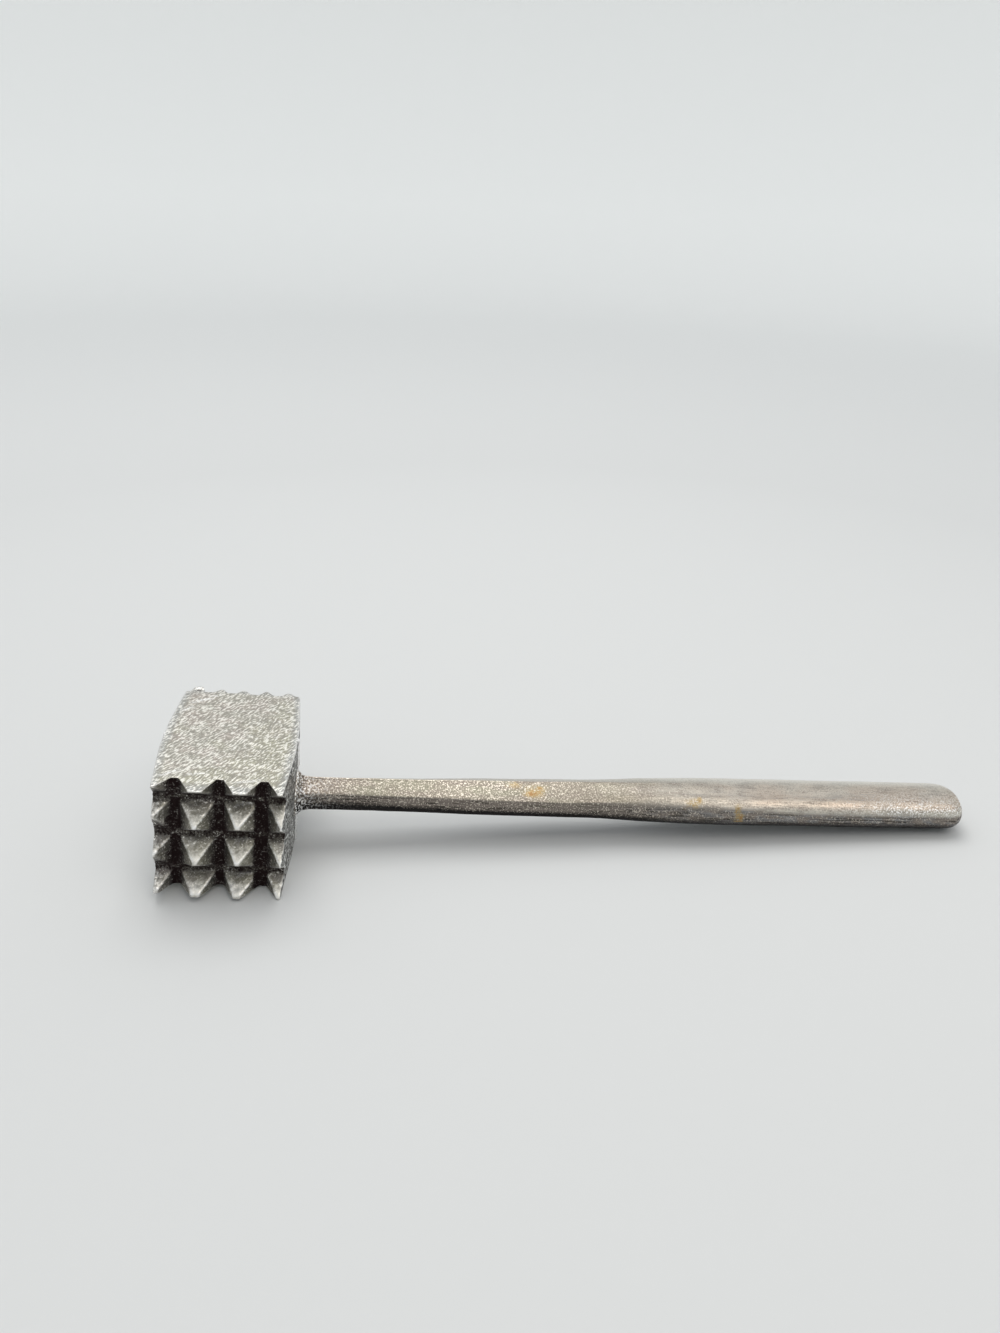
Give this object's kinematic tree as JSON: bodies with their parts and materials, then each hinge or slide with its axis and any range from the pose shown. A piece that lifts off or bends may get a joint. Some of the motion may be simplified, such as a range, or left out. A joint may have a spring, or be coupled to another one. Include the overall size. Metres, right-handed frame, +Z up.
{
  "type": "meat tenderizer",
  "caption": "Cast aluminium meat tenderizer: a block head with coarse teeth on one face and fine teeth on the opposite face, and a slim handle that widens into an oval grip.",
  "frame": {"origin": "on the surface the tool lies on, under the middle of its box", "axes": "+X level, from the head along the handle; -Y out of the coarse striking face and +Y out of the fine one; +Z up. The tool lies on the lower edge of its head beside the handle and on the handle's free end, so the handle and the head's flat sides slope down a little towards +X"},
  "size_m": [0.2804, 0.066, 0.0426],
  "materials": {
    "head_aluminium": "rough as-cast grain, grey, worn bright on the edges and dark with old dirt in the grooves",
    "handle_aluminium": "hand-worn casting with a warm grey-brown patina, fine speckle and a few orange-brown stains"
  },
  "bodies": {
    "root": {"head": "head_aluminium", "handle": "handle_aluminium"}
  },
  "joints": []
}
